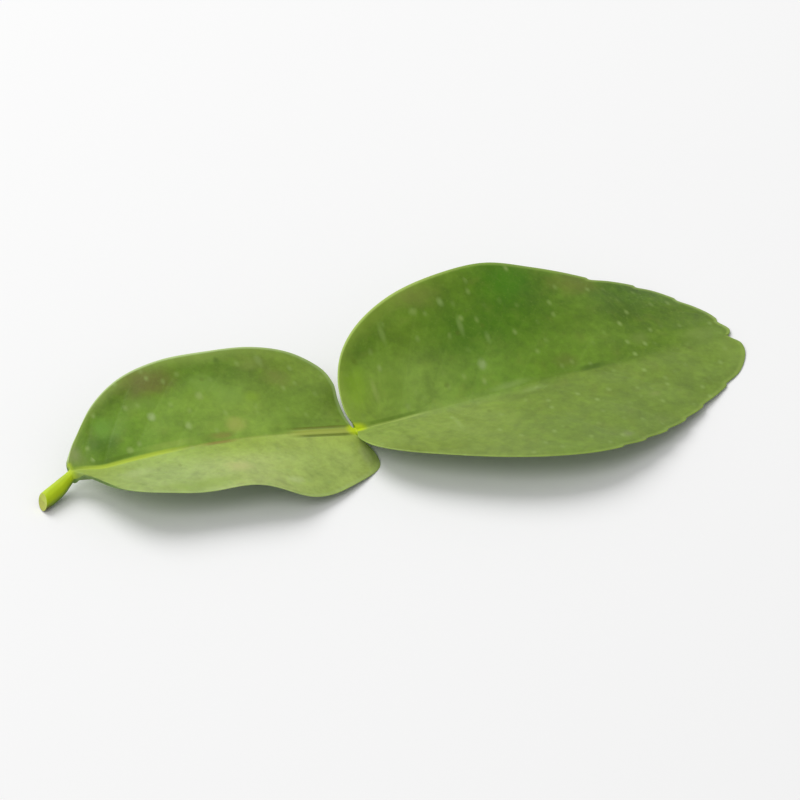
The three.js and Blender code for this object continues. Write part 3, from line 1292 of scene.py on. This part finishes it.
BLADE_FINISH = LeafFinish(
    name="blade_green",
    left=HalfTint(
        inner={
            0.0: (0.245, 0.375, 0.045), 10.0: (0.235, 0.37, 0.055), 21.0: (0.155, 0.285, 0.028),
            29.0: (0.135, 0.255, 0.016), 38.0: (0.14, 0.255, 0.018), 46.0: (0.105, 0.2, 0.006),
            57.0: (0.105, 0.19, 0.006),
        },
        outer={
            0.0: (0.082, 0.17, 0.006), 10.0: (0.12, 0.217, 0.012), 20.0: (0.11, 0.218, 0.009),
            27.0: (0.073, 0.185, 0.001), 38.0: (0.112, 0.215, 0.01), 46.0: (0.078, 0.172, 0.001),
            57.0: (0.092, 0.18, 0.002),
        },
        turn=(3.5, 13.0),
    ),
    # Painted sheen: the right half's green is paler and hazier than the left's, as the light from
    # behind catches it.
    right=HalfTint(
        inner={
            0.0: (0.285, 0.395, 0.08), 14.0: (0.218, 0.305, 0.055), 26.0: (0.158, 0.245, 0.024),
            57.0: (0.168, 0.265, 0.03),
        },
        outer={
            0.0: (0.185, 0.255, 0.034), 14.0: (0.195, 0.28, 0.043), 26.0: (0.16, 0.248, 0.03),
            57.0: (0.17, 0.265, 0.032),
        },
        turn=(4.0, 14.0),
    ),
    margin=(0.31, 0.43, 0.055),
    margin_line=(0.5, 0.67, 0.16),
    margin_glow=(8.0, 27.0),
    midrib_soft=((8.0, 14.0, 1.5), (27.0, 33.0, -1.1), (38.0, 44.0, 0.8), (47.0, 54.0, 1.3)),
    stains_and_shade=(
        StainOrShade(28.0, 16.8, 5.0, 3.4, (0.07, 0.215, 0.002), 0.8),
        StainOrShade(20.4, 10.8, 8.0, 5.0, (0.055, 0.17, 0.001), 0.45),
        StainOrShade(1.8, 6.4, 2.2, 4.0, (0.23, 0.4, 0.016), 0.6),
        StainOrShade(7.0, 4.5, 2.5, 4.0, (0.17, 0.29, 0.025), 0.4),
        StainOrShade(38.6, 15.4, 5.0, 2.4, (0.18, 0.2, 0.03), 0.6),
        StainOrShade(14.0, 17.6, 4.5, 2.2, (0.23, 0.27, 0.05), 0.5),
        StainOrShade(32.4, 2.4, 2.2, 1.6, (0.15, 0.18, 0.03), 0.5),
        StainOrShade(44.6, 3.6, 2.0, 1.6, (0.2, 0.29, 0.05), 0.5),
        StainOrShade(44.5, 9.0, 3.2, 2.4, (0.065, 0.135, 0.001), 0.8),
        StainOrShade(25.7, -1.2, 2.6, 0.9, (0.25, 0.36, 0.09), 0.5),
        StainOrShade(54.0, 1.5, 4.0, 2.2, (0.19, 0.28, 0.05), 0.6),
        StainOrShade(56.5, -4.0, 2.0, 5.0, (0.2, 0.29, 0.05), 0.5),
        StainOrShade(20.2, 5.1, 0.8, 1.1, (0.33, 0.44, 0.17), 0.65),
        StainOrShade(19.1, 11.8, 0.5, 2.0, (0.24, 0.36, 0.09), 0.55),
        StainOrShade(22.4, 8.9, 0.5, 1.1, (0.22, 0.34, 0.08), 0.6),
        StainOrShade(17.4, 16.0, 0.6, 0.9, (0.28, 0.4, 0.12), 0.6),
        StainOrShade(13.1, 15.5, 0.8, 0.8, (0.27, 0.39, 0.09), 0.6),
        StainOrShade(7.8, 13.1, 0.5, 2.2, (0.25, 0.37, 0.08), 0.5),
        StainOrShade(4.2, 5.2, 0.5, 2.2, (0.34, 0.46, 0.1), 0.6),
        StainOrShade(22.8, 0.9, 3.4, 0.8, (0.27, 0.39, 0.1), 0.5),
        StainOrShade(2.7, 10.0, 0.5, 0.7, (0.11, 0.17, 0.01), 0.6),
        StainOrShade(13.0, -5.1, 0.5, 2.4, (0.32, 0.43, 0.12), 0.5),
        StainOrShade(42.0, -8.5, 1.2, 0.8, (0.23, 0.3, 0.06), 0.6),
        StainOrShade(34.1, -16.8, 1.2, 1.0, (0.24, 0.28, 0.12), 0.5),
    ),
    streaks=(
        Streak(1.0, 9.5, 0.0, 0.42, (0.36, 0.48, 0.1), 0.75),
        # Painted shade in the crease just left of the midrib, near the base.
        Streak(2.0, 9.0, 0.6, 0.4, (0.1, 0.18, 0.01), 0.55),
        # Painted shade in a sharp stretch of the crease.
        Streak(34.0, 37.2, 0.3, 0.8, (0.05, 0.11, 0.003), 0.65, fade=1.0),
        # Faint painted shade along the crease.
        Streak(28.0, 46.0, 0.3, 0.6, (0.1, 0.18, 0.01), 0.2, fade=4.0),
    ),
)

WING_FINISH = LeafFinish(
    name="wing_green",
    left=HalfTint(
        inner={
            -41.0: (0.15, 0.25, 0.02), -36.0: (0.11, 0.225, 0.006), -32.0: (0.16, 0.3, 0.024),
            -26.0: (0.2, 0.34, 0.036), -15.0: (0.225, 0.355, 0.046), -8.0: (0.165, 0.275, 0.028),
            0.0: (0.15, 0.245, 0.022),
        },
        outer={
            -41.0: (0.105, 0.195, 0.006), -29.0: (0.085, 0.155, 0.001), -23.0: (0.11, 0.21, 0.006),
            -15.0: (0.125, 0.225, 0.018), -8.0: (0.17, 0.27, 0.024), 0.0: (0.205, 0.315, 0.038),
        },
        turn=(6.5, 12.0),
    ),
    # The wing's right half: paler by its own colour and by painted sheen from the light behind.
    right=HalfTint(
        inner={
            -41.0: (0.3, 0.4, 0.065), -30.0: (0.34, 0.46, 0.105), -17.0: (0.295, 0.41, 0.058),
            -9.0: (0.36, 0.47, 0.095), 0.0: (0.36, 0.47, 0.08),
        },
        outer={
            -41.0: (0.3, 0.4, 0.09), -28.0: (0.37, 0.48, 0.15), -18.0: (0.39, 0.48, 0.14),
            -8.0: (0.37, 0.49, 0.11), 0.0: (0.42, 0.54, 0.13),
        },
        turn=(1.0, 6.0),
    ),
    margin=(0.36, 0.47, 0.1),
    margin_line=(0.54, 0.7, 0.3),
    margin_glow=(-16.0, -2.0),
    stains_and_shade=(
        StainOrShade(-26.4, 12.0, 5.0, 3.1, (0.175, 0.155, 0.04), 0.65),
        StainOrShade(-35.6, 3.9, 2.6, 1.9, (0.065, 0.155, 0.002), 0.75),
        StainOrShade(-34.6, 6.2, 2.2, 2.2, (0.18, 0.37, 0.04), 0.6),
        StainOrShade(-39.9, 2.6, 1.4, 2.2, (0.25, 0.31, 0.1), 0.7),
        StainOrShade(-28.0, 8.6, 3.0, 1.5, (0.22, 0.36, 0.06), 0.4),
        StainOrShade(-18.7, 10.1, 3.0, 2.2, (0.23, 0.38, 0.06), 0.6),
        StainOrShade(-12.9, 7.2, 1.4, 1.2, (0.26, 0.42, 0.03), 0.6),
        StainOrShade(-16.0, 7.6, 3.0, 2.2, (0.24, 0.4, 0.06), 0.5),
        StainOrShade(-8.1, 10.5, 2.4, 1.8, (0.21, 0.24, 0.05), 0.55),
        StainOrShade(-11.0, 13.0, 3.0, 1.4, (0.2, 0.25, 0.05), 0.45),
        StainOrShade(-16.6, 2.6, 1.9, 1.5, (0.38, 0.44, 0.09), 0.8),
        StainOrShade(-19.2, 1.1, 1.8, 0.7, (0.26, 0.22, 0.05), 0.55),
        # Painted shade where the wing's right margin curves down.
        StainOrShade(-25.0, -10.0, 7.0, 1.8, (0.26, 0.38, 0.05), 0.55),
        StainOrShade(-19.4, -6.9, 2.2, 1.8, (0.5, 0.52, 0.19), 0.75),
        StainOrShade(-33.2, -4.2, 2.6, 1.6, (0.44, 0.55, 0.2), 0.6),
        StainOrShade(-12.5, -10.2, 1.6, 0.9, (0.5, 0.6, 0.24), 0.6),
        StainOrShade(-0.4, -5.0, 1.0, 2.6, (0.42, 0.5, 0.2), 0.5),
        StainOrShade(-27.7, 6.4, 0.7, 0.9, (0.4, 0.52, 0.22), 0.7),
        StainOrShade(-23.2, 3.6, 0.6, 0.9, (0.36, 0.48, 0.16), 0.6),
        StainOrShade(-32.3, 1.7, 0.6, 0.7, (0.32, 0.44, 0.12), 0.6),
        StainOrShade(-20.1, 8.2, 0.7, 0.8, (0.34, 0.46, 0.13), 0.6),
        StainOrShade(-15.7, 14.1, 0.5, 0.8, (0.07, 0.14, 0.01), 0.6),
        StainOrShade(-9.7, 13.6, 0.6, 1.4, (0.24, 0.34, 0.09), 0.5),
    ),
    streaks=(
        # Painted highlight: the groove's right flank catching the light, as a bright line on the
        # midrib.
        Streak(-39.5, -26.0, 0.0, 0.7, (0.44, 0.57, 0.05), 0.95, fade=3.0),
        # Painted shadow in the crease where the left half rises from the midrib.
        Streak(-38.0, -31.0, 0.95, 0.45, (0.09, 0.17, 0.003), 0.5, fade=2.0),
        Streak(-30.0, -24.0, 1.1, 0.8, (0.34, 0.46, 0.08), 0.4, fade=2.0),
        Streak(-26.0, -12.0, 0.0, 0.4, (0.36, 0.44, 0.08), 0.35, fade=4.0),
        Streak(-22.0, -18.0, -0.15, 0.5, (0.24, 0.14, 0.03), 0.55, fade=1.4),
        Streak(-9.5, 0.0, 0.0, 0.8, (0.36, 0.42, 0.07), 0.85, height=0.12),
        Streak(-9.0, -1.0, 0.8, 0.3, (0.15, 0.15, 0.02), 0.55, height=-0.08),
        # Painted shade in the groove below the raised band, beside its bump.
        Streak(-8.5, -0.5, -0.8, 0.35, (0.11, 0.15, 0.01), 0.75, height=-0.1),
    ),
)


# ---------------------------------------------------------------- floor, light and camera


@dataclass
class Floor:
    """A pale plain floor, white where it is seen in full light, that keeps the leaf's shadow."""

    half_side: float = 5.0
    lit: Triple = (0.88, 0.88, 0.88)
    white: Triple = (1.0, 1.0, 1.0)

    def build(self) -> None:
        """Makes the floor, a little paler to the camera than to the light that it throws back."""
        mesh = bpy.data.meshes.new("floor")
        s = self.half_side
        mesh.from_pydata([(-s, -s, 0), (s, -s, 0), (s, s, 0), (-s, s, 0)], [], [(0, 1, 2, 3)])
        material = bpy.data.materials.new("floor_white")
        tree = Tree(material)
        colour = tree.mix(self.lit, self.white, tree.seen())
        tree.finish({"Base Color": colour, "Roughness": 1.0, "Specular IOR Level": 0.0})
        mesh.materials.append(material)
        linked("floor", mesh)


@dataclass
class Sky:
    """The world's light: white where it is seen, plain and soft on the leaf."""

    strength: float = 0.42
    white: Triple = (1.0, 1.0, 1.0)

    def build(self) -> None:
        """Mixes two backgrounds by what kind of ray asks."""
        world = bpy.data.worlds.new("studio")
        bpy.context.scene.world = world
        tree = Tree(world)
        lit = tree.add("ShaderNodeBackground", {"Color": self.white, "Strength": self.strength})
        seen = tree.add("ShaderNodeBackground", {"Color": self.white, "Strength": 1.0})
        shaders = {0: tree.seen(), 1: lit.outputs[0], 2: seen.outputs[0]}
        mixed = tree.add("ShaderNodeMixShader", shaders)
        tree.add("ShaderNodeOutputWorld", {"Surface": mixed.outputs[0]})


def aim(
    made: bpy.types.Object, target: Any, azimuth: float, elevation: float, distance: float
) -> None:
    """Puts a lamp or camera at distance * (sin a cos e, -cos a cos e, sin e) from its target.

    Args:
        made: the lamp or camera.
        target: the place looked at.
        azimuth: a, in degrees from -Y towards +X.
        elevation: e, in degrees.
        distance: in metres.
    """
    a, e = np.radians(azimuth), np.radians(elevation)
    away = Vector((np.sin(a) * np.cos(e), -np.cos(a) * np.cos(e), np.sin(e)))
    made.location = Vector(target) + away * distance
    made.rotation_euler = away.to_track_quat("Z", "Y").to_euler()


@dataclass
class SoftBox:
    """A large soft lamp that looks at the leaf from an azimuth and an elevation."""

    name: str
    azimuth: float
    elevation: float
    distance: float
    size: float
    power: float

    def build(self) -> None:
        """Hangs the lamp and turns it to the leaf's middle."""
        lamp = bpy.data.lights.new(self.name, "AREA")
        lamp.shape = "DISK"
        lamp.size = self.size
        lamp.energy = self.power
        aim(linked(self.name, lamp), (0.0, 0.0, 0.0), self.azimuth, self.elevation, self.distance)


@dataclass
class Camera:
    """A long lens that looks down on the leaf, its stalk to the lower left."""

    azimuth: float = -20.4
    elevation: float = 37.7
    distance: float = 1.155
    lens: float = 372.0

    def build(self) -> None:
        """Places the camera and aims it at the middle of the part's box."""
        low, high = CAD_BOX
        data = bpy.data.cameras.new("camera")
        data.lens = self.lens
        data.clip_end = 50.0
        data.clip_start = 0.01
        made = linked("camera", data)
        aim(made, (low + high) / 2, self.azimuth, self.elevation, self.distance)
        bpy.context.scene.camera = made


def main() -> None:
    """Builds the leaf, dresses it, and sets the floor, the light and the camera."""
    bpy.context.scene.view_settings.view_transform = "Standard"
    pieces = Leaf().build()
    BLADE_FINISH.dress(pieces["blade"])
    WING_FINISH.dress(pieces["winged_petiole"])
    Floor().build()
    Sky().build()
    for lamp in (
        SoftBox("back_light", azimuth=200.0, elevation=50.0, distance=1.5, size=1.2, power=13.0),
        SoftBox("side_light", azimuth=-60.0, elevation=50.0, distance=1.5, size=0.8, power=3.8),
    ):
        lamp.build()
    Camera().build()


if __name__ == "__main__":
    main()
